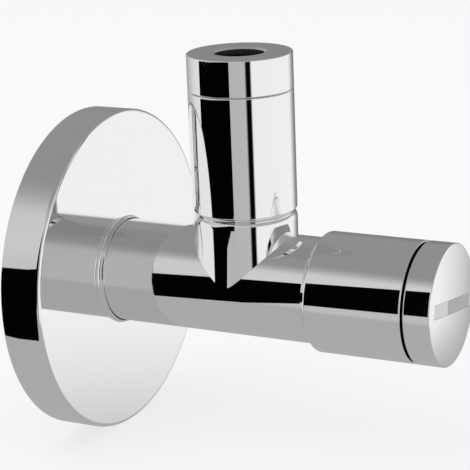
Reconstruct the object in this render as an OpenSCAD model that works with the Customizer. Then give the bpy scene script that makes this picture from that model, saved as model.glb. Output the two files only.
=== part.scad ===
// Filtered stop tap: an angle valve with a sliding wall flange and a filter in its outlet.
// Origin: on the inlet axis, in the plane of the finished wall. +X points out of the wall, +Z to the outlet.
// Every turned piece is a profile of [radius, station] points, turned about the inlet or the outlet axis.

/* [Wall flange] */
// Diameter of the wall flange
flange_d = 70; // [60:1:80]
// Depth of the wall flange, from the wall to its flat face
flange_depth = 9.3; // [8.5:0.1:12]
// Thickness of the drawn brass sheet
flange_sheet = 0.8; // [0.6:0.1:1]
// Radius of the rounded front edge
flange_edge_r = 0.8; // [0.5:0.1:1.2]

/* [Body] */
// Diameter of the barrel that leaves the wall
barrel_d = 22.3; // [22.2:0.05:22.6]
// Distance from the wall to the outlet axis
outlet_x = 39.2; // [38:0.1:40]
// Length of the threaded tail behind the wall plane
tail_len = 12; // [10:0.5:15]
// Station at which the barrel ends and the bonnet begins
barrel_end = 56.6; // [56.4:0.1:57]
// Bore of the inlet
inlet_bore_d = 12; // [10:0.5:12.5]
// Bore of the seat, which the washer closes
seat_bore_d = 9; // [8.5:0.25:9.5]

/* [Bonnet and cap] */
// Diameter of the bonnet and of the slotted cap
bonnet_d = 25.3; // [25:0.1:26]
// Station of the bonnet's front face
bonnet_front = 78.8; // [78.8:0.1:79]
// Shadow gap between the bonnet and the cap
cap_gap = 0.55; // [0.4:0.05:0.6]
// Length of the cap's straight side
cap_side = 5.75; // [5.7:0.05:6.2]
// Rise of the cap's domed face
cap_dome = 0.5; // [0.4:0.1:1]
// Width of the cap's slot
slot_w = 2.8; // [2:0.1:3]
// Depth of the slot below the edge of the dome
slot_depth = 2.3; // [1.5:0.1:2.4]
// Length of the slot, centred on the cap
slot_len = 20.6; // [18:0.2:22]
// Angle by which the slot's -Y end stands above the horizontal
slot_tilt = 8.5; // [0:0.5:45]

/* [Outlet] */
// Diameter of the filter holder and of the compression nut
outlet_d = 22; // [21.8:0.1:22]
// Height at which the filter holder meets the body
holder_z = 15.8; // [15.6:0.1:16]
// Height of the seam between the filter holder and the nut
seam_z = 41.8; // [41.6:0.1:42]
// Height of the nut's top face above the inlet axis
top_z = 49.5; // [49.3:0.1:50]
// Outside diameter of the pipe that the outlet takes
pipe_d = 10; // [10:0.1:10.1]

/* [Valve] */
// Lift of the plug from closed to fully open
plug_lift = 3; // [2:0.25:3]
// Depth of the V groove round the neck
groove_depth = 0.8; // [0.5:0.1:1]

/* [Hidden] */
$fn = 96;

chrome = [0.78, 0.79, 0.80];
bare_brass = [0.80, 0.65, 0.33];
steel = [0.62, 0.63, 0.65];
rubber = [0.10, 0.10, 0.11];
white_plastic = [0.90, 0.90, 0.88];

over = 0.1;                          // how far a cutter runs past a face
run_fit = 0.05;                      // radial clearance of a piece that turns or slides
edge = 0.3;                          // small turned edge break

// Inlet and tail: the tail is drawn at the crest of its G 1/2 thread
barrel_r = barrel_d / 2;
tail_r = 10.48;
tail_tip_r = 9.2;
tail_relief_r = 9.1;
tail_thread_end = 0.4;
tail_end = 2;                        // station where the tail meets the barrel
inlet_r = inlet_bore_d / 2;

// Seat and chamber
seat_x = 31;
seat_r = seat_bore_d / 2;
nozzle_r = 6;
nozzle_len = 2;
chamber_r = 7.5;

// Front spigot, drawn where the flanks of its M20 x 1 thread meet the bonnet's
spigot_root_r = 9.4;
spigot_end = 64;
seal_groove = [57.2, 59.0];          // stations of the bonnet's seal groove
seal_groove_r = 8.6;

// Bonnet
bonnet_r = bonnet_d / 2;
bonnet_rear_len = 1.3;               // length of the tapered rear edge
seal_bore_r = 10.3;
seal_bore_end = 59.3;
hex_start = 64.6;
hex_corner_r = 6.93;                 // across the corners, halved, of the plug's guide in the bonnet
gland_x = 72;                        // inner face of the front wall
gland_r = 4.55;
recess_x = 77.4;
recess_r = 7;

// Spindle
stem_r = 3.9;
stem_x = 56;
collar_x = 70.3;
collar_len = 1.1;
collar_r = 5.9;
journal_r = gland_r - run_fit;
o_groove_r = 3.7;
o_groove_len = 1.6;
o_groove_x = [72.8, 75.2];
neck_x = 77.1;                       // where the journal steps down to the clip neck
neck_r = 4;
clip_x = 78.02;
clip_t = 0.7;
clip_groove_r = 3.5;
square_x = 79.3;
square_len = 2.6;
square_side = 5.6;

// Cap
cap_x = bonnet_front + cap_gap;
cap_rim_x = cap_x + cap_side;
cap_hollow_x = 81.6;
cap_hub_r = 6.5;
cap_wall = 1.6;
slot_floor_x = cap_rim_x - slot_depth;

// Plug, drawn in its closed place on the seat
washer_x = seat_x + run_fit;
washer_t = 2.45;
washer_r = 5.85;
cup_x = seat_x + 0.6;
cup_end = 35.6;
cup_r = 6.6;
plug_rod_r = 3.5;
plug_tube_x = 50;
plug_tube_r = 5.4;
plug_bore_x = 52;
guide_x = 59.4;
guide_end = 67;
guide_corner_r = hex_corner_r - 0.08;
screw_r = 1.95;
screw_end = 38;
screw_head_r = 3.2;
screw_head_len = 1.6;
plate_r = 3.9;
plate_t = 0.5;

// Outlet: the threads inside are drawn where their flanks meet
outlet_r = outlet_d / 2;
outlet_bore_r = 5.5;
spigot_r = 7.45;
spigot_top = 25;
female_r = 7.5;
groove_low = 14.3;                   // where the neck's rounded shoulder begins
groove_high = 16.7;                  // where the holder's lower edge ends
holder_seal = [16.0, 17.6];
holder_seal_r = 6.85;
holder_seal_bore_r = 8.3;
gasket_t = 0.45;
filter_flange_t = 1.2;
filter_flange_r = 7.4;
filter_z = spigot_top + gasket_t;
filter_base_z = filter_z + filter_flange_t;
chamber_top_r = 6.6;
chamber_top_z = 37.5;
basket_r = 5;
basket_top_z = 36.4;
mesh_r = 4.22;
mesh_t = 0.22;
throat_r = 4;
socket_z = 38.8;
socket_r = pipe_d / 2 + run_fit;
male_top = 45.6;
nut_gap = 0.05;
nut_bore_top = 46.4;
nut_cone_top = 48.1;
nut_hole_r = pipe_d / 2 + 0.25;
nut_lip = 0.42;

// Points of an arc round c, of radius r, from angle a to angle b
function arc(c, r, a, b, n = 6) =
    [for (i = [0:n]) c + r * [cos(a + (b - a) * i / n), sin(a + (b - a) * i / n)]];

// Points of a quarter of an ellipse round c, with the half axes rx and ry, from angle a to angle b
function oval(c, rx, ry, a, b, n = 6) =
    [for (i = [0:n]) c + [rx * cos(a + (b - a) * i / n), ry * sin(a + (b - a) * i / n)]];

// A profile of [radius, station] points turned about the inlet axis
module turned_x(points) rotate([0, 90, 0]) rotate_extrude() polygon(points);

// A profile of [radius, height] points turned about the outlet axis
module turned_z(points) translate([outlet_x, 0, 0]) rotate_extrude() polygon(points);

module rod_x(r, from, to, sides = 96)
    translate([from, 0, 0]) rotate([0, 90, 0]) cylinder(r = r, h = to - from, $fn = sides);

module rod_z(r, from, to) translate([outlet_x, 0, from]) cylinder(r = r, h = to - from);

module washer_ring_x(inner, outer, from, to)
    turned_x([[inner, from], [outer, from], [outer, to], [inner, to]]);

module o_ring(ring_r, wire_r) rotate_extrude() translate([ring_r, 0]) circle(r = wire_r, $fn = 32);

module o_ring_x(ring_r, wire_r, at) translate([at, 0, 0]) rotate([0, 90, 0]) o_ring(ring_r, wire_r);

module o_ring_z(ring_r, wire_r, at) translate([outlet_x, 0, at]) o_ring(ring_r, wire_r);

// Drawn from sheet in one piece, with a rolled lip round the barrel and a cup behind it for the grip ring
hole_r = barrel_r + 0.1;
lip_len = 1.1;
lip_r = hole_r + 0.35;
cup_in_r = 13.25;
cup_out_r = cup_in_r + flange_sheet;
cup_back = 5.4;

module wall_flange() color(chrome) {
    rim_r = flange_d / 2;
    back_of_face = flange_depth - flange_sheet;
    turned_x(concat(
        [[rim_r - flange_sheet, 0], [rim_r, 0]],
        arc([rim_r - flange_edge_r, flange_depth - flange_edge_r], flange_edge_r, 0, 90),
        [[lip_r, flange_depth]],
        oval([lip_r - 0.18, flange_depth + lip_len - 0.4], 0.18, 0.4, 0, 90, 4),
        [[hole_r, flange_depth + lip_len], [hole_r, back_of_face - 0.4], [cup_in_r, back_of_face - 0.4],
         [cup_in_r, cup_back + 0.5], [hole_r + 0.6, cup_back + 0.5], [hole_r + 0.6, cup_back],
         [cup_out_r, cup_back], [cup_out_r, back_of_face],
         [rim_r - flange_sheet, back_of_face]]
    ));
}

module flange_grip_ring() color(rubber) o_ring_x(barrel_r + 0.05 + 1, 0.98, 7.0);

// Hot-stamped tee: tail, barrel, neck and both spigots are one solid
module body_outside() {
    turned_x([
        [0, -tail_len], [tail_tip_r, -tail_len], [tail_r, tail_r - tail_tip_r - tail_len],
        [tail_r, tail_thread_end], [tail_relief_r, tail_thread_end + 0.5], [tail_relief_r, tail_end],
        [barrel_r - edge, tail_end], [barrel_r, tail_end + edge], [barrel_r, barrel_end],
        [spigot_root_r, barrel_end], [spigot_root_r, seal_groove[0]], [seal_groove_r, seal_groove[0]],
        [seal_groove_r, seal_groove[1]], [spigot_root_r, seal_groove[1]],
        [spigot_root_r, spigot_end - 0.5], [spigot_root_r - 0.5, spigot_end], [0, spigot_end]
    ]);
    turned_z(concat(
        [[0, 0], [outlet_r, 0]],
        oval([outlet_r - groove_depth, groove_low], groove_depth, holder_z - groove_low, 0, 90),
        [[spigot_r, holder_z], [spigot_r, holder_seal[0]], [holder_seal_r, holder_seal[0]],
         [holder_seal_r, holder_seal[1]], [spigot_r, holder_seal[1]],
         [spigot_r, spigot_top - 0.5], [spigot_r - 0.5, spigot_top], [0, spigot_top]]
    ));
}

module body_waterway() {
    rod_x(inlet_r, -tail_len - over, seat_x - 4);
    rod_x(seat_r, seat_x - 5, seat_x + over);
    difference() {
        rod_x(chamber_r, seat_x - nozzle_len, spigot_end + over);
        rod_x(nozzle_r, seat_x - nozzle_len - over, seat_x);
    }
    rod_z(outlet_bore_r, 3, spigot_top + over);
}

module valve_body() color(chrome) difference() {
    body_outside();
    body_waterway();
}

// Screws on the body's front spigot, guides the plug in its hexagon and carries the spindle
module bonnet() color(chrome) difference() {
    turned_x(concat(
        [[seal_bore_r, barrel_end], [barrel_r + 0.05, barrel_end]],
        [[bonnet_r - 0.1, barrel_end + bonnet_rear_len - 0.1],
         [bonnet_r, barrel_end + bonnet_rear_len + 0.2]],
        arc([bonnet_r - edge, bonnet_front - edge], edge, 0, 90, 4),
        [[recess_r, bonnet_front], [recess_r, recess_x], [gland_r, recess_x], [gland_r, gland_x],
         [5, gland_x], [5, spigot_end + 0.6], [spigot_root_r + run_fit, spigot_end + 0.6],
         [spigot_root_r + run_fit, seal_bore_end], [seal_bore_r, seal_bore_end]]
    ));
    rod_x(hex_corner_r, hex_start - 1, gland_x, 6);
}

module bonnet_o_ring() color(rubber) o_ring_x(9.44, 0.82, (seal_groove[0] + seal_groove[1]) / 2);

// Does not rise: its collar and clip hold it in the bonnet, and its stem drives the plug
module spindle() color(bare_brass) {
    turned_x([
        [0, stem_x], [stem_r - 0.5, stem_x], [stem_r, stem_x + 0.5], [stem_r, collar_x],
        [collar_r, collar_x], [collar_r, collar_x + collar_len], [journal_r, collar_x + collar_len],
        [journal_r, o_groove_x[0]], [o_groove_r, o_groove_x[0]],
        [o_groove_r, o_groove_x[0] + o_groove_len], [journal_r, o_groove_x[0] + o_groove_len],
        [journal_r, o_groove_x[1]], [o_groove_r, o_groove_x[1]],
        [o_groove_r, o_groove_x[1] + o_groove_len], [journal_r, o_groove_x[1] + o_groove_len],
        [journal_r, neck_x], [neck_r, neck_x], [neck_r, clip_x - 0.05], [clip_groove_r, clip_x - 0.05],
        [clip_groove_r, clip_x + clip_t + 0.05], [neck_r, clip_x + clip_t + 0.05],
        [neck_r, square_x], [0, square_x]
    ]);
    root = 0.4;                      // how far the square reaches back into the neck
    rotate([-slot_tilt, 0, 0])
        translate([square_x - root, -square_side / 2, -square_side / 2])
            cube([square_len + root, square_side, square_side]);
}

module thrust_washer() color(white_plastic)
    washer_ring_x(gland_r, collar_r, collar_x + collar_len + 0.05, gland_x - 0.02);

module spindle_o_ring(at) color(rubber) o_ring_x(o_groove_r + 0.42, 0.4, at + o_groove_len / 2);

module spindle_o_ring_inner() spindle_o_ring(o_groove_x[0]);

module spindle_o_ring_outer() spindle_o_ring(o_groove_x[1]);

module clip_washer() color(bare_brass)
    washer_ring_x(neck_r + run_fit, recess_r - 0.2, recess_x, clip_x - 0.1);

// Open ring with an ear at each end, and a hole in each ear for the pliers
module retaining_clip() color(steel) {
    ear_angle = 16;
    ear_at = 5.15;
    translate([clip_x, 0, 0]) rotate([0, 90, 0]) linear_extrude(clip_t) difference() {
        union() {
            translate([-0.3, 0]) circle(r = 5);
            for (side = [-1, 1]) rotate(side * ear_angle) translate([ear_at, 0]) circle(r = 1.25);
        }
        circle(r = clip_groove_r + 0.03);
        polygon([[0, 0], 9 * [cos(5), sin(5)], 9 * [cos(5), -sin(5)]]);
        for (side = [-1, 1]) rotate(side * ear_angle) translate([ear_at, 0]) circle(r = 0.5);
    }
}

// Domed cap with a hollow back, pressed on the spindle's square
module slotted_cap() color(chrome) difference() {
    dome_r = (pow(bonnet_r - edge, 2) + pow(cap_dome, 2)) / (2 * cap_dome);
    dome_angle = asin((bonnet_r - edge) / dome_r);
    turned_x(concat(
        [[0, cap_x], [cap_hub_r, cap_x], [cap_hub_r, cap_hollow_x], [bonnet_r - cap_wall, cap_hollow_x],
         [bonnet_r - cap_wall, cap_x], [bonnet_r - edge, cap_x], [bonnet_r, cap_x + edge]],
        arc([bonnet_r - edge, cap_rim_x - edge], edge, 0, 90 - dome_angle, 4),
        arc([0, cap_rim_x + cap_dome - dome_r], dome_r, 90 - dome_angle, 90, 8)
    ));
    rotate([-slot_tilt, 0, 0]) {
        translate([slot_floor_x, -slot_len / 2, -slot_w / 2]) cube([5, slot_len, slot_w]);
        square_hole = square_side + run_fit;
        translate([cap_x - over, -square_hole / 2, -square_hole / 2])
            cube([square_x + square_len + run_fit - cap_x + over, square_hole, square_hole]);
    }
}

// Slides without turning: a hexagon guides it, and the spindle's stem screws into its back
module valve_plug() color(bare_brass) difference() {
    union() {
        turned_x([
            [0, cup_x], [cup_r - 0.2, cup_x], [cup_r, cup_x + 0.2],
            [cup_r, cup_end - 0.6], [cup_r - 0.6, cup_end],
            [plug_rod_r, cup_end], [plug_rod_r, plug_tube_x - 1.9], [plug_tube_r, plug_tube_x],
            [plug_tube_r, guide_x + over], [0, guide_x + over]
        ]);
        intersection() {
            rod_x(guide_corner_r, guide_x, guide_end, 6);
            turned_x([
                [0, guide_x], [6.2, guide_x], [7, guide_x + 0.8],
                [7, guide_end - 0.8], [6.2, guide_end], [0, guide_end]
            ]);
        }
    }
    rod_x(washer_r + 0.05, cup_x - over, washer_x + washer_t);
    rod_x(screw_r + 0.02, cup_x, screw_end + 1);
    rod_x(stem_r + run_fit, plug_bore_x, guide_end + over);
}

module seat_washer() color(rubber) washer_ring_x(screw_r + 0.1, washer_r, washer_x, washer_x + washer_t);

module washer_plate() color(bare_brass)
    washer_ring_x(screw_r + run_fit, plate_r, washer_x - plate_t, washer_x);

module washer_screw() color(bare_brass) {
    head_x = washer_x - plate_t - screw_head_len;
    difference() {
        turned_x([
            [0, head_x], [screw_head_r - 0.4, head_x], [screw_head_r, head_x + 0.4],
            [screw_head_r, head_x + screw_head_len], [screw_r, head_x + screw_head_len],
            [screw_r, screw_end - 0.5], [screw_r - 0.5, screw_end], [0, screw_end]
        ]);
        translate([head_x - over, -5, -0.5]) cube([0.9 + over, 10, 1]);
    }
}

// Long sleeve on the neck: holds the filter and ends in the pipe socket
module filter_holder() color(chrome) turned_z(concat(
    [[holder_seal_bore_r, holder_z], [outlet_r - groove_depth, holder_z], [outlet_r, groove_high]],
    arc([outlet_r - 0.5, seam_z - 0.5], 0.5, 0, 90, 4),
    [[spigot_r, seam_z], [spigot_r, male_top - 0.4], [spigot_r - 0.4, male_top], [socket_r + 1.15, male_top],
     [socket_r, male_top - 1.2], [socket_r, socket_z], [throat_r, socket_z], [throat_r, chamber_top_z + 1],
     [chamber_top_r, chamber_top_z], [chamber_top_r, filter_base_z], [female_r, filter_base_z],
     [female_r, holder_seal[1] + 0.2], [holder_seal_bore_r, holder_seal[1] + 0.2]]
));

module holder_o_ring() color(rubber) o_ring_z(7.55, 0.68, (holder_seal[0] + holder_seal[1]) / 2);

module filter_gasket() color(rubber) turned_z([
    [outlet_bore_r, spigot_top], [filter_flange_r - 0.5, spigot_top],
    [filter_flange_r - 0.5, filter_z], [outlet_bore_r, filter_z]
]);

// Moulded basket: a flange, four ribs and a closed top
module filter_frame() color(white_plastic) {
    rib_w = 1;
    inner = mesh_r + 0.02;
    turned_z([
        [mesh_r - mesh_t, filter_z], [filter_flange_r, filter_z],
        [filter_flange_r, filter_base_z], [mesh_r - mesh_t, filter_base_z]
    ]);
    intersection() {
        turned_z([
            [inner, filter_base_z - over], [basket_r, filter_base_z - over],
            [basket_r, basket_top_z], [inner, basket_top_z]
        ]);
        for (turn = [0, 90])
            translate([outlet_x, 0, (filter_base_z + basket_top_z) / 2]) rotate(turn)
                cube([2 * basket_r + 1, rib_w, basket_top_z - filter_base_z + 2], center = true);
    }
    turned_z([
        [0, basket_top_z - 1], [basket_r, basket_top_z - 1], [basket_r, basket_top_z - 0.4],
        [basket_r - 0.4, basket_top_z], [0, basket_top_z]
    ]);
}

// Sleeve of woven wire in the basket, drawn at the thickness of the weave
module filter_mesh() color(steel) {
    mesh_top = basket_top_z - 1;
    turned_z([
        [mesh_r - mesh_t, filter_base_z], [mesh_r, filter_base_z],
        [mesh_r, mesh_top], [mesh_r - mesh_t, mesh_top]
    ]);
}

// Barrel-shaped ring that the nut squeezes on the pipe
module olive() color(bare_brass) turned_z([
    [socket_r + 0.05, 44.8], [5.3, 44.8], [6.25, 45.85], [6.4, 46.2],
    [6.25, 46.6], [5.45, 47.5], [socket_r + 0.05, 47.5]
]);

module compression_nut() color(chrome) turned_z(concat(
    [[female_r, seam_z + nut_gap], [outlet_r - 0.2, seam_z + nut_gap], [outlet_r, seam_z + nut_gap + 0.2]],
    arc([outlet_r - edge, top_z - edge], edge, 0, 90, 4),
    [[nut_hole_r + nut_lip, top_z], [nut_hole_r, top_z - nut_lip], [nut_hole_r, nut_cone_top],
     [6.9, nut_bore_top], [female_r, nut_bore_top]]
));

wall_flange();
flange_grip_ring();
valve_body();
bonnet();
bonnet_o_ring();
spindle();
thrust_washer();
spindle_o_ring_inner();
spindle_o_ring_outer();
clip_washer();
retaining_clip();
slotted_cap();
valve_plug();
seat_washer();
washer_plate();
washer_screw();
filter_holder();
holder_o_ring();
filter_gasket();
filter_frame();
filter_mesh();
olive();
compression_nut();
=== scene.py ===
"""Visual model of a chromed angle stop tap with a wall flange, a slotted front cap and a filter in its outlet.

Lengths in the classes are millimetres in the part's own frame: the inlet axis is X, the outlet axis is Z.
The meshes are scaled to metres when they are made.
"""

import logging
import math
from dataclasses import dataclass, field
from enum import Enum
from typing import Callable, Dict, List, Optional, Sequence, Tuple

import bmesh
import bpy
import numpy as np
from mathutils import Matrix, Vector


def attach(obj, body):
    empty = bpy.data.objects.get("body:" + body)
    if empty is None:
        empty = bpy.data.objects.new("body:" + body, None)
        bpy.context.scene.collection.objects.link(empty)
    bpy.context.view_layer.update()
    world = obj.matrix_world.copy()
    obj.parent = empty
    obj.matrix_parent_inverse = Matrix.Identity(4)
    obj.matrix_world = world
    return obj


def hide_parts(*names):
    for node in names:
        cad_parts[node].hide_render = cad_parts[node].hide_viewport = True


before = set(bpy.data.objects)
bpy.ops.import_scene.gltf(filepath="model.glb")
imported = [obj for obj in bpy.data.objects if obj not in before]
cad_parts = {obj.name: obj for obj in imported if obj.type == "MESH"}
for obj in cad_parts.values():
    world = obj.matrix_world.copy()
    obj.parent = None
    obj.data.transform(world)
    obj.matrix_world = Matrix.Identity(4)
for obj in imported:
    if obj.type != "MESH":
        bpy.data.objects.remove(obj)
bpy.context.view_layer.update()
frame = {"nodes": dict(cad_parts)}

logging.basicConfig(level=logging.INFO, format="%(message)s")
log = logging.getLogger("stop_tap")

MM = 0.001
FULL = 2 * math.pi
OUTLET_X = 39.2          # station of the outlet axis
SLOT_TILT = math.radians(8.5)

Points = List[Tuple[float, float]]


class Turn(Enum):
    """The axis that a turned surface goes round."""

    INLET = "x"
    OUTLET = "z"


class Skin(Enum):
    """Which of a piece's materials a surface takes."""

    PLATED = 0
    BARE = 1
    # Faces inside gaps and recesses, which take a near-black rough plate that paints the shade falling there.
    PAINTED_SHADE = 2


# ---------------------------------------------------------------- profiles

def arc(centre: Tuple[float, float], rx: float, ry: float, start: float, end: float, steps: int = 6) -> Points:
    """Points of an arc of a circle or an ellipse.

    Args:
        centre: Radius and station of the arc's centre.
        rx: Half axis along the radius.
        ry: Half axis along the station.
        start: First angle in degrees, from the radius towards the station.
        end: Last angle in degrees.
        steps: Number of chords.

    Returns:
        The points as radius and station.
    """
    angles = [math.radians(start + (end - start) * i / steps) for i in range(steps + 1)]
    return [(centre[0] + rx * math.cos(a), centre[1] + ry * math.sin(a)) for a in angles]


def supported(profile: Points, reach: float = 0.04, longest: float = 0.2) -> Points:
    """Adds a point close to each end of every long chord, so that a flat or a cylinder keeps its own normal.

    Args:
        profile: Radius and station points.
        reach: Distance of the added points from the ends.
        longest: Chords shorter than this are left alone.

    Returns:
        The profile with its added points.
    """
    out: Points = [profile[0]]
    for (r0, s0), (r1, s1) in zip(profile, profile[1:]):
        span = math.hypot(r1 - r0, s1 - s0)
        if span > longest:
            t = reach / span
            out.append((r0 + (r1 - r0) * t, s0 + (s1 - s0) * t))
            out.append((r1 + (r0 - r1) * t, s1 + (s0 - s1) * t))
        out.append((r1, s1))
    return out


@dataclass(frozen=True)
class Thread:
    """A V thread between two stations, as a radius over angle and station."""

    start: float
    end: float
    crest: float
    root: float
    pitch: float
    right_hand: bool = True
    samples: int = 16
    fade: float = 0.8

    def stations(self) -> np.ndarray:
        """Stations of the rings, evenly spaced from start to end."""
        count = max(4, int(round(abs(self.end - self.start) / self.pitch * self.samples)))
        return np.linspace(self.start, self.end, count + 1)

    def radii(self, angles: np.ndarray, axis: Turn) -> np.ndarray:
        """Radius at every station and angle.

        Args:
            angles: Angles of the columns.
            axis: The axis, which sets the sense of the helix.

        Returns:
            An array with a row per station and a column per angle.
        """
        stations = self.stations()[:, None]
        sense = 1.0 if (axis is Turn.INLET) == self.right_hand else -1.0
        phase = np.mod(stations / self.pitch + sense * angles[None, :] / FULL, 1.0)
        flank = np.clip((np.abs(2 * phase - 1) - 0.12) / 0.76, 0, 1)
        flank = flank * flank * (3 - 2 * flank) * 0.25 + flank * 0.75
        edge = np.minimum(np.abs(stations - self.start), np.abs(stations - self.end))
        grown = np.clip(edge / (self.fade * self.pitch), 0, 1)
        plain = self.root if self.crest > self.root else self.crest
        full = self.root + (self.crest - self.root) * flank
        return plain + (full - plain) * grown


# ---------------------------------------------------------------- mesh maker

class Maker:
    """Collects rings, grids and caps in millimetres and turns them into one welded mesh object."""

    def __init__(self) -> None:
        """Starts with no points and no faces."""
        self.points: List[np.ndarray] = []
        self.faces: List[Tuple[int, ...]] = []
        self.skins: List[int] = []
        self.count = 0

    def add_points(self, block: np.ndarray) -> int:
        """Adds points and returns the index of the first.

        Args:
            block: Array of points.

        Returns:
            The index of the first added point.
        """
        first = self.count
        block = np.asarray(block, float).reshape(-1, 3)
        self.points.append(block)
        self.count += len(block)
        return first

    def grid(self, block: np.ndarray, skin: Skin = Skin.PLATED, closed: bool = True) -> None:
        """Adds a grid of quads.

        Args:
            block: Rows, columns and coordinates.
            skin: The material of the faces.
            closed: Whether the last column meets the first.
        """
        rows, cols = block.shape[:2]
        first = self.add_points(block)
        last = cols if closed else cols - 1
        for i in range(rows - 1):
            for j in range(last):
                k = (j + 1) % cols
                self.faces.append((first + i * cols + j, first + i * cols + k,
                                   first + (i + 1) * cols + k, first + (i + 1) * cols + j))
                self.skins.append(skin.value)

    def polygon(self, points: np.ndarray, skin: Skin = Skin.PLATED) -> None:
        """Adds one flat face."""
        first = self.add_points(points)
        self.faces.append(tuple(range(first, first + len(points))))
        self.skins.append(skin.value)

    def zip_rings(self, inner: np.ndarray, inner_angles: np.ndarray, outer: np.ndarray,
                  outer_angles: np.ndarray, skin: Skin = Skin.PLATED) -> None:
        """Fills the flat ring between two closed rings that have different points.

        Args:
            inner: Points of the first ring.
            inner_angles: Their angles round the axis.
            outer: Points of the second ring.
            outer_angles: Their angles round the axis.
            skin: The material of the faces.
        """
        a_order = np.argsort(np.mod(inner_angles, FULL))
        b_order = np.argsort(np.mod(outer_angles, FULL))
        a, b = inner[a_order], outer[b_order]
        ta, tb = np.mod(inner_angles, FULL)[a_order], np.mod(outer_angles, FULL)[b_order]
        fa, fb = self.add_points(a), self.add_points(b)
        na, nb = len(a), len(b)
        i = j = 0
        while i < na or j < nb:
            next_a = ta[(i + 1) % na] + (FULL if i + 1 >= na else 0) if i < na else math.inf
            next_b = tb[(j + 1) % nb] + (FULL if j + 1 >= nb else 0) if j < nb else math.inf
            if next_a <= next_b:
                self.faces.append((fa + i % na, fa + (i + 1) % na, fb + j % nb))
                i += 1
            else:
                self.faces.append((fb + j % nb, fb + (j + 1) % nb, fa + i % na))
                j += 1
            self.skins.append(skin.value)

    def turned(self, profile: Points, axis: Turn, angles: np.ndarray, skin: Skin = Skin.PLATED,
               support: bool = True) -> None:
        """Adds a surface of revolution.

        Args:
            profile: Radius and station points, in order.
            axis: The axis that it turns about.
            angles: Angles of the columns.
            skin: The material of the faces.
            support: Whether long chords get points close to their ends.
        """
        line = supported(profile) if support else profile
        self.grid(np.stack([ring(axis, r, s, angles) for r, s in line]), skin)

    def threaded(self, thread: Thread, axis: Turn, angles: np.ndarray, skin: Skin = Skin.PLATED,
                 limit: Optional[Callable[[np.ndarray], np.ndarray]] = None) -> None:
        """Adds a threaded stretch.

        Args:
            thread: The thread.
            axis: The axis that it goes round.
            angles: Angles of the columns.
            skin: The material of the faces.
            limit: Largest radius at a station, for a chamfered end.
        """
        stations = thread.stations()
        radii = thread.radii(angles, axis)
        if limit is not None:
            radii = np.minimum(radii, limit(stations)[:, None])
        self.grid(np.stack([ring(axis, r, s, angles) for r, s in zip(radii, stations)]), skin)

    def make(self, name: str, materials: Sequence[bpy.types.Material], sharp: float = 28.0,
             hard: Optional[Callable[[Vector], bool]] = None) -> bpy.types.Object:
        """Welds everything into a mesh object in metres.

        Args:
            name: Name of the object.
            materials: The plated and the bare material.
            sharp: Edges that turn by more than this many degrees stay sharp.
            hard: Says of an edge's middle whether it stays sharp whatever it turns by.

        Returns:
            The object, linked to the scene.
        """
        mesh = bpy.data.meshes.new(name)
        mesh.from_pydata(np.concatenate(self.points).tolist(), [], self.faces)
        mesh.polygons.foreach_set("material_index", self.skins)
        work = bmesh.new()
        work.from_mesh(mesh)
        bmesh.ops.remove_doubles(work, verts=work.verts, dist=2e-4)
        bmesh.ops.dissolve_degenerate(work, edges=work.edges, dist=1e-5)
        bmesh.ops.recalc_face_normals(work, faces=work.faces)
        limit = math.radians(sharp)
        for edge in work.edges:
            two = len(edge.link_faces) == 2
            edge.smooth = two and edge.calc_face_angle(0.0) < limit
            if edge.smooth and hard is not None and hard((edge.verts[0].co + edge.verts[1].co) / 2):
                edge.smooth = False
        for face in work.faces:
            face.smooth = True
        open_edges = sum(1 for e in work.edges if len(e.link_faces) != 2)
        work.transform(Matrix.Scale(MM, 4))
        work.to_mesh(mesh)
        work.free()
        for material in materials:
            mesh.materials.append(material)
        piece = bpy.data.objects.new(name, mesh)
        bpy.context.scene.collection.objects.link(piece)
        log.info("%s: %d faces, %d open edges", name, len(mesh.polygons), open_edges)
        return piece


def ring(axis: Turn, radius: object, station: float, angles: np.ndarray) -> np.ndarray:
    """Points of a ring round the inlet or the outlet axis.

    Args:
        axis: The axis.
        radius: One radius, or one for each angle.
        station: Place along the axis.
        angles: Angle of each point.

    Returns:
        An array of points.
    """
    radius = np.broadcast_to(np.asarray(radius, float), angles.shape)
    level = np.full(angles.shape, float(station))
    if axis is Turn.INLET:
        return np.stack([level, radius * np.sin(angles), radius * np.cos(angles)], axis=-1)
    return np.stack([OUTLET_X + radius * np.cos(angles), radius * np.sin(angles), level], axis=-1)


def round_angles(count: int) -> np.ndarray:
    """Evenly spaced angles of a full turn."""
    return np.arange(count) * FULL / count


def polygon_ring(axis: Turn, corner_r: float, station: float, sides: int, first: float,
                 per_side: int = 6) -> Tuple[np.ndarray, np.ndarray]:
    """Points along a regular polygon, with their angles.

    Args:
        axis: The axis that the polygon stands round.
        corner_r: Radius to its corners.
        station: Place along the axis.
        sides: Number of sides.
        first: Angle of the first corner.
        per_side: Points on each side.

    Returns:
        The points and their angles.
    """
    corners = ring(axis, corner_r, station, first + round_angles(sides))
    points = []
    for i in range(sides):
        for k in range(per_side):
            points.append(corners[i] + (corners[(i + 1) % sides] - corners[i]) * k / per_side)
    block = np.array(points)
    if axis is Turn.INLET:
        return block, np.arctan2(block[:, 1], block[:, 2])
    return block, np.arctan2(block[:, 1], block[:, 0] - OUTLET_X)


# ---------------------------------------------------------------- node helpers

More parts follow.
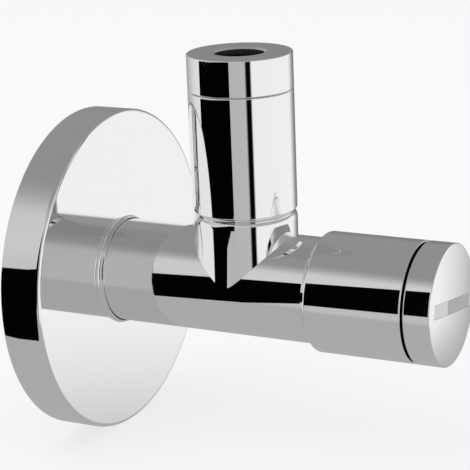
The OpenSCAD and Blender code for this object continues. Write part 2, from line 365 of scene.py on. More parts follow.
class Nodes:
    """Short calls for a node tree."""

    def __init__(self, tree: bpy.types.NodeTree) -> None:
        """Keeps the tree."""
        self.tree = tree
        self.column = 0

    def add(self, kind: str, **settings: object) -> bpy.types.Node:
        """Adds a node and sets its properties.

        Args:
            kind: Node type without its ShaderNode prefix.
            settings: Properties of the node.

        Returns:
            The node.
        """
        node = self.tree.nodes.new("ShaderNode" + kind)
        for key, value in settings.items():
            setattr(node, key, value)
        self.column += 1
        node.location = (180 * self.column, 0)
        return node

    def link(self, source: bpy.types.NodeSocket, target: bpy.types.NodeSocket) -> None:
        """Joins two sockets."""
        self.tree.links.new(source, target)

    def math(self, operation: str, *inputs: object, clamp: bool = False) -> bpy.types.NodeSocket:
        """Adds a Math node.

        Args:
            operation: The operation.
            inputs: Sockets or numbers.
            clamp: Whether the result is kept between 0 and 1.

        Returns:
            Its output socket.
        """
        node = self.add("Math", operation=operation, use_clamp=clamp)
        for i, value in enumerate(inputs):
            self.feed(value, node.inputs[i])
        return node.outputs[0]

    def feed(self, value: object, socket: bpy.types.NodeSocket) -> None:
        """Links a socket or sets a number."""
        if isinstance(value, bpy.types.NodeSocket):
            self.link(value, socket)
        else:
            socket.default_value = value

    def blend(self, factor: object, low: object, high: object) -> bpy.types.NodeSocket:
        """Mixes two colours.

        Args:
            factor: Share of the second colour.
            low: The first colour.
            high: The second colour.

        Returns:
            The mixed colour's socket.
        """
        node = self.add("Mix", data_type="RGBA")
        self.feed(factor, node.inputs[0])
        self.feed(low, node.inputs[6])
        self.feed(high, node.inputs[7])
        return node.outputs[2]

    def spread(self, value: object, low: float, high: float, out_low: float, out_high: float,
               smooth: bool = True) -> bpy.types.NodeSocket:
        """Maps a range to another.

        Args:
            value: The number.
            low: Start of the range.
            high: End of the range.
            out_low: Result at the start.
            out_high: Result at the end.
            smooth: Whether the change is eased.

        Returns:
            The mapped number's socket.
        """
        node = self.add("MapRange", interpolation_type="SMOOTHSTEP" if smooth else "LINEAR")
        for i, number in enumerate((value, low, high, out_low, out_high)):
            self.feed(number, node.inputs[i])
        return node.outputs[0]

    def noise(self, vector: object, scale: float, detail: float = 2.0, rough: float = 0.5,
              stretch: Tuple[float, float, float] = (1, 1, 1)) -> bpy.types.NodeSocket:
        """Adds a noise texture on stretched coordinates.

        Args:
            vector: Coordinates in metres.
            scale: Waves for each metre.
            detail: Number of finer layers.
            rough: Strength of the finer layers.
            stretch: Factor on each axis.

        Returns:
            The noise value's socket.
        """
        place = self.add("Mapping")
        self.feed(vector, place.inputs["Vector"])
        place.inputs["Scale"].default_value = stretch
        node = self.add("TexNoise")
        self.link(place.outputs[0], node.inputs["Vector"])
        node.inputs["Scale"].default_value = scale
        node.inputs["Detail"].default_value = detail
        node.inputs["Roughness"].default_value = rough
        return node.outputs["Fac"]


def new_group(name: str, inputs: Dict[str, Tuple[str, object]], outputs: Dict[str, str]
              ) -> Tuple[bpy.types.NodeTree, Nodes, bpy.types.Node, bpy.types.Node]:
    """Starts a shader node group.

    Args:
        name: Name of the group.
        inputs: Socket type and starting value by name.
        outputs: Socket type by name.

    Returns:
        The tree, its helper, the group's input node and its output node.
    """
    tree = bpy.data.node_groups.new(name, "ShaderNodeTree")
    for key, (kind, value) in inputs.items():
        socket = tree.interface.new_socket(key, in_out="INPUT", socket_type=kind)
        if value is not None:
            socket.default_value = value
    for key, kind in outputs.items():
        tree.interface.new_socket(key, in_out="OUTPUT", socket_type=kind)
    return tree, Nodes(tree), tree.nodes.new("NodeGroupInput"), tree.nodes.new("NodeGroupOutput")


class Effects:
    """The shared surface effects, each a node group that is built once."""

    def __init__(self) -> None:
        """Builds the groups."""
        self.polish = self.build_polish()
        self.turning = self.build_turning()
        self.specks = self.build_specks()

    def build_polish(self) -> bpy.types.NodeTree:
        """Fine crossed wiping marks and a slow wave of hand polishing."""
        tree, n, gin, gout = new_group(
            "polish_marks", {"Place": ("NodeSocketVector", None), "Marks": ("NodeSocketFloat", 1.0)},
            {"Roughness": "NodeSocketFloat", "Height": "NodeSocketFloat"})
        place = gin.outputs["Place"]
        along = n.noise(place, 900.0, 3.0, 0.6, (0.12, 1.0, 1.4))
        across = n.noise(place, 800.0, 3.0, 0.6, (1.3, 0.9, 0.1))
        lines = n.math("MULTIPLY", n.spread(along, 0.58, 0.75, 0.0, 1.0), n.spread(across, 0.4, 0.7, 0.2, 1.0))
        slow = n.noise(place, 70.0, 1.0, 0.4)
        rough = n.math("ADD", n.math("MULTIPLY", lines, 0.05), n.math("MULTIPLY", slow, 0.02))
        n.link(n.math("MULTIPLY", rough, gin.outputs["Marks"]), gout.inputs["Roughness"])
        n.link(n.math("MULTIPLY", slow, gin.outputs["Marks"]), gout.inputs["Height"])
        return tree

    def build_turning(self) -> bpy.types.NodeTree:
        """Fine rings left by a lathe round the inlet or the outlet axis."""
        tree, n, gin, gout = new_group(
            "turning_rings",
            {"Place": ("NodeSocketVector", None), "Outlet Axis": ("NodeSocketFloat", 0.0),
             "Rings": ("NodeSocketFloat", 1.0)},
            {"Roughness": "NodeSocketFloat", "Height": "NodeSocketFloat"})
        parts = n.add("SeparateXYZ")
        n.link(gin.outputs["Place"], parts.inputs[0])
        x, y, z = parts.outputs
        from_inlet = n.math("SQRT", n.math("ADD", n.math("MULTIPLY", y, y), n.math("MULTIPLY", z, z)))
        dx = n.math("SUBTRACT", x, OUTLET_X * MM)
        from_outlet = n.math("SQRT", n.math("ADD", n.math("MULTIPLY", dx, dx), n.math("MULTIPLY", y, y)))
        pick = gin.outputs["Outlet Axis"]
        keep = n.math("SUBTRACT", 1.0, pick)
        radius = n.math("ADD", n.math("MULTIPLY", from_inlet, keep), n.math("MULTIPLY", from_outlet, pick))
        station = n.math("ADD", n.math("MULTIPLY", x, keep), n.math("MULTIPLY", z, pick))
        flat = n.add("CombineXYZ")
        n.link(radius, flat.inputs[0])
        n.link(station, flat.inputs[1])
        fine = n.noise(flat.outputs[0], 9000.0, 1.0, 0.5)
        broad = n.noise(flat.outputs[0], 1500.0, 2.0, 0.5)
        height = n.math("ADD", n.math("MULTIPLY", fine, 0.6), n.math("MULTIPLY", broad, 0.4))
        n.link(n.math("MULTIPLY", height, gin.outputs["Rings"]), gout.inputs["Height"])
        n.link(n.math("MULTIPLY", broad, gin.outputs["Rings"]), gout.inputs["Roughness"])
        return tree

    def build_specks(self) -> bpy.types.NodeTree:
        """Sparse soft specks, for settled dust, pores and water spots."""
        tree, n, gin, gout = new_group(
            "fine_specks",
            {"Place": ("NodeSocketVector", None), "Scale": ("NodeSocketFloat", 900.0),
             "Share": ("NodeSocketFloat", 0.1)},
            {"Mask": "NodeSocketFloat"})
        cells = n.add("TexVoronoi")
        n.link(gin.outputs["Place"], cells.inputs["Vector"])
        n.link(gin.outputs["Scale"], cells.inputs["Scale"])
        dots = n.spread(cells.outputs["Distance"], 0.05, 0.28, 1.0, 0.0)
        tone = n.add("SeparateColor")
        n.link(cells.outputs["Color"], tone.inputs[0])
        chosen = n.math("LESS_THAN", tone.outputs[0], gin.outputs["Share"])
        n.link(n.math("MULTIPLY", dots, chosen), gout.inputs["Mask"])
        return tree


# ---------------------------------------------------------------- finishes

Colour = Tuple[float, float, float]


def rgba(colour: Colour) -> Tuple[float, float, float, float]:
    """A colour with full alpha."""
    return (*colour, 1.0)


def start_material(name: str) -> Tuple[bpy.types.Material, Nodes, bpy.types.Node, bpy.types.NodeSocket]:
    """Makes a material with a Principled shader.

    Args:
        name: Name of the material.

    Returns:
        The material, its node helper, the shader and the object coordinates.
    """
    material = bpy.data.materials.new(name)
    material.use_nodes = True
    nodes = Nodes(material.node_tree)
    shader = material.node_tree.nodes["Principled BSDF"]
    place = nodes.add("TexCoord").outputs["Object"]
    return material, nodes, shader, place


def place_group(nodes: Nodes, tree: bpy.types.NodeTree, place: bpy.types.NodeSocket,
                **values: float) -> bpy.types.Node:
    """Puts a shared effect into a material.

    Args:
        nodes: The material's helper.
        tree: The effect.
        place: Coordinates for it.
        values: Its inputs, with spaces in their names written as underscores.

    Returns:
        The group node.
    """
    node = nodes.add("Group", node_tree=tree)
    nodes.link(place, node.inputs["Place"])
    for key, value in values.items():
        node.inputs[key.replace("_", " ")].default_value = value
    return node


def bump(nodes: Nodes, height: bpy.types.NodeSocket, depth: float, strength: float,
         shader: bpy.types.Node) -> None:
    """Adds relief to a shader.

    Args:
        nodes: The material's helper.
        height: Height from 0 to 1.
        depth: What a height of 1 stands for, in metres.
        strength: Share of the relief that shows.
        shader: The shader that takes it.
    """
    node = nodes.add("Bump")
    node.inputs["Strength"].default_value = strength
    node.inputs["Distance"].default_value = depth
    nodes.link(height, node.inputs["Height"])
    nodes.link(node.outputs[0], shader.inputs["Normal"])


@dataclass(frozen=True)
class ChromePlate:
    """Polished chrome over brass, with faint wiping marks and the slow wave of hand polishing."""

    name: str
    colour: Colour = (0.90, 0.905, 0.91)
    haze: Colour = (0.80, 0.81, 0.83)
    roughness: float = 0.018
    marks: float = 1.0
    wave: float = 2.0e-6
    outlet_axis: float = 0.0
    rings: float = 0.0

    def make(self, effects: Effects) -> bpy.types.Material:
        """Builds the material.

        Args:
            effects: The shared node groups.

        Returns:
            The material.
        """
        material, n, shader, place = start_material(self.name)
        shader.inputs["Metallic"].default_value = 1.0
        polish = place_group(n, effects.polish, place, Marks=self.marks)
        rings = place_group(n, effects.turning, place, Outlet_Axis=self.outlet_axis, Rings=self.rings)
        dust = place_group(n, effects.specks, place, Scale=1400.0, Share=0.035)
        tone = n.math("MULTIPLY", dust.outputs["Mask"], 0.25)
        n.link(n.blend(tone, rgba(self.colour), rgba(self.haze)), shader.inputs["Base Color"])
        rough = n.math("ADD", polish.outputs["Roughness"], self.roughness)
        rough = n.math("ADD", rough, n.math("MULTIPLY", dust.outputs["Mask"], 0.10))
        rough = n.math("ADD", rough, n.math("MULTIPLY", rings.outputs["Roughness"], 0.10))
        n.link(rough, shader.inputs["Roughness"])
        height = n.math("ADD", polish.outputs["Height"], n.math("MULTIPLY", rings.outputs["Height"], 0.25))
        bump(n, height, self.wave, 1.0, shader)
        return material


@dataclass(frozen=True)
class TurnedBrass:
    """Bare brass off the lathe: yellow, ringed and a little dulled."""

    name: str
    colour: Colour = (0.78, 0.56, 0.24)
    dull: Colour = (0.52, 0.35, 0.15)
    outlet_axis: float = 0.0
    rings: float = 1.0
    roughness: float = 0.2

    def make(self, effects: Effects) -> bpy.types.Material:
        """Builds the material.

        Args:
            effects: The shared node groups.

        Returns:
            The material.
        """
        material, n, shader, place = start_material(self.name)
        shader.inputs["Metallic"].default_value = 1.0
        rings = place_group(n, effects.turning, place, Outlet_Axis=self.outlet_axis, Rings=self.rings)
        spots = place_group(n, effects.specks, place, Scale=500.0, Share=0.2)
        stain = n.noise(place, 260.0, 4.0, 0.6)
        share = n.math("ADD", n.spread(stain, 0.42, 0.72, 0.0, 0.55),
                       n.math("MULTIPLY", spots.outputs["Mask"], 0.25), clamp=True)
        n.link(n.blend(share, rgba(self.colour), rgba(self.dull)), shader.inputs["Base Color"])
        rough = n.math("ADD", n.math("MULTIPLY", share, 0.25), self.roughness)
        rough = n.math("ADD", rough, n.math("MULTIPLY", rings.outputs["Roughness"], 0.12))
        n.link(rough, shader.inputs["Roughness"])
        bump(n, rings.outputs["Height"], 2.5e-5, 0.6, shader)
        return material


@dataclass(frozen=True)
class StampedSteel:
    """Plain stainless, brushed one way, for the clip and the filter's wires."""

    name: str
    colour: Colour = (0.60, 0.61, 0.62)
    dark: Colour = (0.40, 0.41, 0.42)

    def make(self, effects: Effects) -> bpy.types.Material:
        """Builds the material.

        Args:
            effects: The shared node groups.

        Returns:
            The material.
        """
        material, n, shader, place = start_material(self.name)
        shader.inputs["Metallic"].default_value = 1.0
        grain = n.noise(place, 2500.0, 3.0, 0.6, (1.0, 0.08, 1.0))
        pits = place_group(n, effects.specks, place, Scale=2500.0, Share=0.15)
        share = n.math("ADD", n.spread(grain, 0.4, 0.7, 0.0, 0.5),
                       n.math("MULTIPLY", pits.outputs["Mask"], 0.5), clamp=True)
        n.link(n.blend(share, rgba(self.colour), rgba(self.dark)), shader.inputs["Base Color"])
        n.link(n.spread(grain, 0.3, 0.7, 0.26, 0.42), shader.inputs["Roughness"])
        bump(n, grain, 1.2e-5, 0.5, shader)
        return material


@dataclass(frozen=True)
class SealRubber:
    """Black moulded rubber, with a dusting of talc and a fine skin."""

    name: str
    colour: Colour = (0.020, 0.020, 0.022)
    bloom: Colour = (0.075, 0.075, 0.078)

    def make(self, effects: Effects) -> bpy.types.Material:
        """Builds the material.

        Args:
            effects: The shared node groups.

        Returns:
            The material.
        """
        material, n, shader, place = start_material(self.name)
        talc = n.noise(place, 600.0, 4.0, 0.65)
        skin = n.noise(place, 5000.0, 2.0, 0.5)
        specks = place_group(n, effects.specks, place, Scale=2200.0, Share=0.25)
        share = n.math("ADD", n.spread(talc, 0.45, 0.75, 0.0, 0.7),
                       n.math("MULTIPLY", specks.outputs["Mask"], 0.3), clamp=True)
        n.link(n.blend(share, rgba(self.colour), rgba(self.bloom)), shader.inputs["Base Color"])
        n.link(n.spread(talc, 0.3, 0.7, 0.38, 0.62), shader.inputs["Roughness"])
        bump(n, skin, 2.0e-5, 0.5, shader)
        return material


@dataclass(frozen=True)
class MouldedPlastic:
    """White moulded plastic with a satin skin and faint flow streaks."""

    name: str
    colour: Colour = (0.82, 0.82, 0.79)
    shade: Colour = (0.70, 0.70, 0.66)

    def make(self, effects: Effects) -> bpy.types.Material:
        """Builds the material.

        Args:
            effects: The shared node groups.

        Returns:
            The material.
        """
        material, n, shader, place = start_material(self.name)
        flow = n.noise(place, 220.0, 3.0, 0.5, (1.0, 1.0, 0.3))
        skin = n.noise(place, 4200.0, 2.0, 0.5)
        specks = place_group(n, effects.specks, place, Scale=1500.0, Share=0.05)
        share = n.math("ADD", n.spread(flow, 0.42, 0.7, 0.0, 0.6),
                       n.math("MULTIPLY", specks.outputs["Mask"], 0.4), clamp=True)
        n.link(n.blend(share, rgba(self.colour), rgba(self.shade)), shader.inputs["Base Color"])
        n.link(n.spread(skin, 0.3, 0.7, 0.36, 0.50), shader.inputs["Roughness"])
        bump(n, skin, 1.5e-5, 0.4, shader)
        return material


@dataclass
class Finishes:
    """All materials of the tap."""

    effects: Effects

    def __post_init__(self) -> None:
        """Builds each material once."""
        self.flange_chrome = ChromePlate("flange_chrome", wave=1.2e-6).make(self.effects)
        self.body_chrome = ChromePlate("body_chrome").make(self.effects)
        self.sleeve_chrome = ChromePlate("sleeve_chrome", outlet_axis=1.0).make(self.effects)
        self.cap_chrome = ChromePlate("cap_chrome", rings=0.15, wave=1.4e-6).make(self.effects)
        # Painted shade: the rougher, unplated metal inside gaps, recesses and the nut's hole, with its colour set
        # near black so that these faces read as shadowed.
        self.gap_shade_plate = ChromePlate("painted_gap_shade", colour=(0.09, 0.09, 0.095), haze=(0.16, 0.16, 0.165),
                                      roughness=0.45, rings=0.6, wave=1.0e-5).make(self.effects)
        self.inlet_brass = TurnedBrass("inlet_side_brass").make(self.effects)
        self.outlet_brass = TurnedBrass("outlet_side_brass", outlet_axis=1.0).make(self.effects)
        self.steel = StampedSteel("stamped_steel").make(self.effects)
        self.rubber = SealRubber("seal_rubber").make(self.effects)
        self.plastic = MouldedPlastic("basket_plastic").make(self.effects)


# ---------------------------------------------------------------- pieces

def stand_for(piece: bpy.types.Object, node: str, body: str) -> None:
    """Puts a piece in the place of its CAD node.

    Args:
        piece: The new piece.
        node: The node that it replaces.
        body: The body that it rides on.
    """
    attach(piece, body)
    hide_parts(node)


@dataclass
class WallFlange:
    """Drawn sheet flange with a rolled lip round the barrel and a cup for its grip ring."""

    finishes: Finishes
    rim_r: float = 35.0
    depth: float = 9.3
    sheet: float = 0.8
    edge_r: float = 0.8
    hole_r: float = 11.25
    lip_len: float = 1.1
    lip_bulge: float = 0.35
    cup_r: float = 13.25
    cup_back: float = 5.4
    return_lip: float = 0.5
    columns: int = 320

    def profile(self) -> Points:
        """The closed section, from the rim at the wall round to it again."""
        back = self.depth - self.sheet
        lip_r = self.hole_r + self.lip_bulge
        inner_r = self.rim_r - self.sheet
        cup_out = self.cup_r + self.sheet
        inner_edge = 0.35
        return (
            [(inner_r + 0.2, 0.0), (self.rim_r - 0.2, 0.0)]
            + arc((self.rim_r - 0.2, 0.2), 0.2, 0.2, -90, 0, 4)[1:]
            + arc((self.rim_r - self.edge_r, self.depth - self.edge_r), self.edge_r, self.edge_r, 0, 90, 10)
            + [(lip_r + 0.25, self.depth)]
            + arc((lip_r + 0.25, self.depth + 0.25), 0.25, 0.25, -90, -180, 5)[1:]
            + arc((lip_r - 0.18, self.depth + self.lip_len - 0.4), 0.18, 0.4, 0, 150, 8)
            + [(self.hole_r, self.depth + self.lip_len - 0.35), (self.hole_r, back - 0.4),
               (self.cup_r, back - 0.4), (self.cup_r, self.cup_back + self.return_lip),
               (self.hole_r + 0.6, self.cup_back + self.return_lip), (self.hole_r + 0.6, self.cup_back),
               (cup_out - 0.4, self.cup_back)]
            + arc((cup_out - 0.4, self.cup_back + 0.4), 0.4, 0.4, -90, 0, 5)[1:]
            + arc((cup_out + 0.4, back - 0.4), 0.4, 0.4, 180, 90, 5)
            + arc((inner_r - inner_edge, back - inner_edge), inner_edge, inner_edge, 90, 0, 5)
            + [(inner_r, 0.2), (inner_r + 0.2, 0.0)]
        )

    def build(self) -> bpy.types.Object:
        """Makes the flange and puts it in place of its node."""
        maker = Maker()
        maker.turned(self.profile(), Turn.INLET, round_angles(self.columns))
        piece = maker.make("chromed_wall_flange", [self.finishes.flange_chrome])
        stand_for(piece, "wall_flange", "flange")
        return piece


@dataclass
class TeeBody:
    """Hot-stamped tee with its threaded tail, barrel, neck and two spigots."""

    finishes: Finishes
    barrel_r: float = 11.15
    barrel_end: float = 56.6
    neck_r: float = 11.0
    tail_len: float = 12.0
    tail_crest: float = 10.48
    tail_root: float = 9.32
    tail_pitch: float = 1.814
    tail_tip_r: float = 9.2
    relief_r: float = 9.1
    spigot_r: float = 9.4
    spigot_end: float = 64.0
    seal_groove: Tuple[float, float, float] = (57.2, 59.0, 8.6)
    inlet_r: float = 6.0
    seat_r: float = 4.5
    seat_x: float = 31.0
    chamber_r: float = 7.5
    outlet_bore_r: float = 5.5
    shoulder: Tuple[float, float, float] = (14.3, 15.8, 0.8)
    neck_spigot_r: float = 7.45
    neck_seal: Tuple[float, float, float] = (16.0, 17.6, 6.85)
    neck_top: float = 25.0
    columns: int = 256

    @staticmethod
    def branch_rows(main_r: float, branch_r: float, count: int) -> np.ndarray:
        """Angles round the main bore or barrel that meet the columns of its branch.

        Args:
            main_r: Radius of the main cylinder.
            branch_r: Radius of the branch.
            count: Columns of the branch.

        Returns:
            Sorted angles of a full turn, with zero towards the branch.
        """
        quarter = np.arange(count // 4 + 1) * FULL / count
        over = np.arcsin(branch_r * np.sin(quarter) / main_r)
        upper = np.concatenate([-over[:0:-1], over])
        gap = FULL - 2 * over[-1]
        lower_count = max(24, int(round(count * gap / FULL)))
        lower = over[-1] + gap * np.arange(1, lower_count) / lower_count
        return np.concatenate([upper, lower])

    def crossing(self, maker: Maker, main_r: float, branch_r: float, start: float, end: float,
                 rows: np.ndarray, skin: Skin) -> None:
        """Adds a cylinder about the inlet axis, with the opening where the branch meets it.

        Args:
            maker: Collects the faces.
            main_r: Radius of the main cylinder.
            branch_r: Radius of the branch.
            start: First station.
            end: Last station.
            rows: Angles from branch_rows.
            skin: The material of the faces.
        """
        side = main_r * np.sin(rows)
        facing = np.cos(rows) > 0
        half = np.where(facing, np.sqrt(np.clip(branch_r ** 2 - side ** 2, 0, None)), 0.0)
        half[np.abs(half) < 2e-3] = 0.0
        low = [np.full_like(rows, start), np.full_like(rows, start + 0.04), OUTLET_X - half]
        high = [OUTLET_X + half, np.full_like(rows, end - 0.04), np.full_like(rows, end)]
        for stations in (low, high):
            block = np.stack([np.stack([s, side, main_r * np.cos(rows)], axis=-1) for s in stations])
            maker.grid(block, skin)

    def branch_foot(self, main_r: float, branch_r: float, angles: np.ndarray) -> np.ndarray:
        """The curve along which a branch meets the main cylinder.

        Args:
            main_r: Radius of the main cylinder.
            branch_r: Radius of the branch.
            angles: Columns of the branch.

        Returns:
            Points of the curve.
        """
        foot = ring(Turn.OUTLET, branch_r, 0.0, angles)
        foot[:, 2] = np.sqrt(main_r ** 2 - foot[:, 1] ** 2)
        return foot

    def outside(self, maker: Maker, rows: np.ndarray, columns: np.ndarray) -> None:
        """Adds the plated and the threaded outside.

        Args:
            maker: Collects the faces.
            rows: Angles round the inlet axis.
            columns: Angles round the outlet axis.
        """
        tip = -self.tail_len

        def chamfer(stations: np.ndarray) -> np.ndarray:
            """Largest radius near the tail's tip."""
            return self.tail_tip_r + 0.05 + (stations - tip)

        tail = Thread(tip, 0.3, self.tail_crest, self.tail_root, self.tail_pitch, samples=20, fade=0.5)
        maker.threaded(tail, Turn.INLET, rows, Skin.BARE, chamfer)
        maker.turned([(self.tail_root, 0.3), (self.relief_r, 0.6), (self.relief_r, 2.0),
                      (self.barrel_r - 0.3, 2.0), (self.barrel_r, 2.3)], Turn.INLET, rows)
        self.crossing(maker, self.barrel_r, self.neck_r, 2.3, self.barrel_end, rows, Skin.PLATED)
        low, high, groove_r = self.seal_groove
        maker.turned([(self.barrel_r, self.barrel_end), (self.spigot_r, self.barrel_end),
                      (self.spigot_r, low), (groove_r, low), (groove_r, high), (self.spigot_r - 0.55, high)],
                     Turn.INLET, rows, Skin.BARE)
        front = Thread(high, self.spigot_end - 0.5, self.spigot_r, self.spigot_r - 0.55, 1.0, samples=12)
        maker.threaded(front, Turn.INLET, rows, Skin.BARE)
        maker.turned([(self.spigot_r - 0.55, self.spigot_end - 0.5), (self.spigot_r - 0.7, self.spigot_end)],
                     Turn.INLET, rows, Skin.BARE)

        foot = self.branch_foot(self.barrel_r, self.neck_r, columns)
        start, end, depth = self.shoulder
        straight = [ring(Turn.OUTLET, self.neck_r, s, columns) for s in (start - 0.04, start)]
        near = foot + (straight[0] - foot) * np.array([0, 0, 0.02])
        maker.grid(np.stack([foot, near] + straight))
        maker.turned(arc((self.neck_r - depth, start), depth, end - start, 0, 90, 12), Turn.OUTLET, columns,
                     support=False)
        s_low, s_high, s_r = self.neck_seal
        maker.turned([(self.neck_r - depth, end), (self.neck_spigot_r, end), (self.neck_spigot_r, s_low),
                      (s_r, s_low), (s_r, s_high), (self.neck_spigot_r - 0.5, s_high)],
                     Turn.OUTLET, columns, Skin.BARE)
        neck = Thread(s_high, self.neck_top - 0.5, self.neck_spigot_r, self.neck_spigot_r - 0.5, 1.0, samples=12)
        maker.threaded(neck, Turn.OUTLET, columns, Skin.BARE)
        maker.turned([(self.neck_spigot_r - 0.5, self.neck_top - 0.5), (self.neck_spigot_r - 0.6, self.neck_top)],
                     Turn.OUTLET, columns, Skin.BARE)

    def waterway(self, maker: Maker, rows: np.ndarray, columns: np.ndarray) -> None:
        """Adds the bores inside.

        Args:
            maker: Collects the faces.
            rows: Angles round the inlet axis.
            columns: Angles round the outlet axis.
        """
        nozzle = self.seat_x - 2.0
        maker.turned([(self.inlet_r, -self.tail_len), (self.inlet_r, self.seat_x - 4), (self.seat_r, self.seat_x - 4),
                      (self.seat_r, self.seat_x - 0.2), (self.seat_r + 0.2, self.seat_x), (6.0, self.seat_x),
                      (6.0, nozzle), (self.chamber_r, nozzle)], Turn.INLET, rows, Skin.BARE)
        self.crossing(maker, self.chamber_r, self.outlet_bore_r, nozzle, self.spigot_end, rows, Skin.BARE)
        foot = self.branch_foot(self.chamber_r, self.outlet_bore_r, columns)
        top = ring(Turn.OUTLET, self.outlet_bore_r, self.neck_top, columns)
        maker.grid(np.stack([foot, top]), Skin.BARE)

    def on_mitre(self, middle: Vector) -> bool:
        """Whether a point lies on the line where the neck meets the barrel."""
        across = math.hypot(middle.x - OUTLET_X, middle.y)
        along = math.hypot(middle.y, middle.z)
        return middle.z > 0 and abs(across - self.neck_r) < 0.02 and abs(along - self.barrel_r) < 0.02

    def build(self) -> bpy.types.Object:
        """Makes the body and puts it in place of its node."""
        maker = Maker()
        rows = self.branch_rows(self.barrel_r, self.neck_r, self.columns)
        columns = round_angles(self.columns)
        self.outside(maker, rows, columns)
        inner_count = self.columns * 3 // 4
        inner_rows = self.branch_rows(self.chamber_r, self.outlet_bore_r, inner_count)
        inner_columns = round_angles(inner_count)
        self.waterway(maker, inner_rows, inner_columns)
        for station, inner_r, outer_r in ((-self.tail_len, self.inlet_r, self.tail_tip_r + 0.05),
                                          (self.spigot_end, self.chamber_r, self.spigot_r - 0.7)):
            maker.zip_rings(ring(Turn.INLET, inner_r, station, inner_rows), inner_rows,
                            ring(Turn.INLET, outer_r, station, rows), rows, Skin.BARE)
        maker.zip_rings(ring(Turn.OUTLET, self.outlet_bore_r, self.neck_top, inner_columns), inner_columns,
                        ring(Turn.OUTLET, self.neck_spigot_r - 0.6, self.neck_top, columns), columns, Skin.BARE)
        piece = maker.make("tee_body", [self.finishes.body_chrome, self.finishes.inlet_brass],
                           hard=self.on_mitre)
        stand_for(piece, "valve_body", "tap_body")
        return piece


@dataclass
class Bonnet:
    """The larger front cylinder that screws on the body and guides the plug."""

    finishes: Finishes
    rear: float = 56.6
    front: float = 78.8
    outer_r: float = 12.65
    rear_r: float = 11.2
    edge: float = 0.3
    seal_bore: Tuple[float, float] = (10.3, 59.3)
    spigot_r: float = 9.45
    spigot_bore_end: float = 64.6
    hex_corner_r: float = 6.93
    gland: Tuple[float, float] = (4.55, 72.0)
    recess: Tuple[float, float] = (7.0, 77.4)
    columns: int = 288

    def build(self) -> bpy.types.Object:
        """Makes the bonnet and puts it in place of its node."""
        angles = round_angles(self.columns)
        maker = Maker()
        maker.turned(
            [(self.seal_bore[0], self.rear), (self.rear_r, self.rear)]
            + [(self.rear_r + 0.03, self.rear + 0.03), (self.outer_r - 0.12, self.rear + 1.17)]
            + arc((self.outer_r - 0.3, self.rear + 1.5), 0.3, 0.3, -36, 0, 5)
            + arc((self.outer_r - self.edge, self.front - self.edge), self.edge, self.edge, 0, 90, 8)
            + [(self.outer_r - 0.45, self.front)], Turn.INLET, angles)
        # The front face towards the cap and the recess take the near-black plate of painted gap shade.
        maker.turned([(self.outer_r - 0.45, self.front), (self.recess[0] + 0.15, self.front),
                      (self.recess[0], self.front - 0.15), (self.recess[0], self.recess[1])],
                     Turn.INLET, angles, Skin.PAINTED_SHADE)
        maker.turned([(self.recess[0], self.recess[1]), (self.gland[0], self.recess[1]), self.gland],
                     Turn.INLET, angles, Skin.BARE)
        hex_front, hex_angles = polygon_ring(Turn.INLET, self.hex_corner_r, self.gland[1], 6, 0.0)
        hex_rear, _ = polygon_ring(Turn.INLET, self.hex_corner_r, self.spigot_bore_end, 6, 0.0)
        maker.zip_rings(ring(Turn.INLET, *self.gland, angles), angles, hex_front, hex_angles, Skin.BARE)
        maker.grid(np.stack([hex_front, hex_rear]), Skin.BARE)
        maker.zip_rings(hex_rear, hex_angles, ring(Turn.INLET, self.spigot_r, self.spigot_bore_end, angles), angles,
                        Skin.BARE)
        bore_r, bore_end = self.seal_bore
        maker.turned([(self.spigot_r, self.spigot_bore_end), (self.spigot_r, self.spigot_bore_end - 0.5)],
                     Turn.INLET, angles, Skin.BARE)
        maker.threaded(Thread(self.spigot_bore_end - 0.5, bore_end + 0.3, self.spigot_r, self.spigot_r + 0.4, 1.0,
                              samples=12), Turn.INLET, angles, Skin.BARE)
        maker.turned([(self.spigot_r, bore_end + 0.3), (self.spigot_r, bore_end), (bore_r, bore_end),
                      (bore_r, self.rear)], Turn.INLET, angles, Skin.BARE)
        piece = maker.make("front_bonnet", [self.finishes.body_chrome, self.finishes.inlet_brass,
                                            self.finishes.gap_shade_plate])
        stand_for(piece, "bonnet", "tap_body")
        return piece


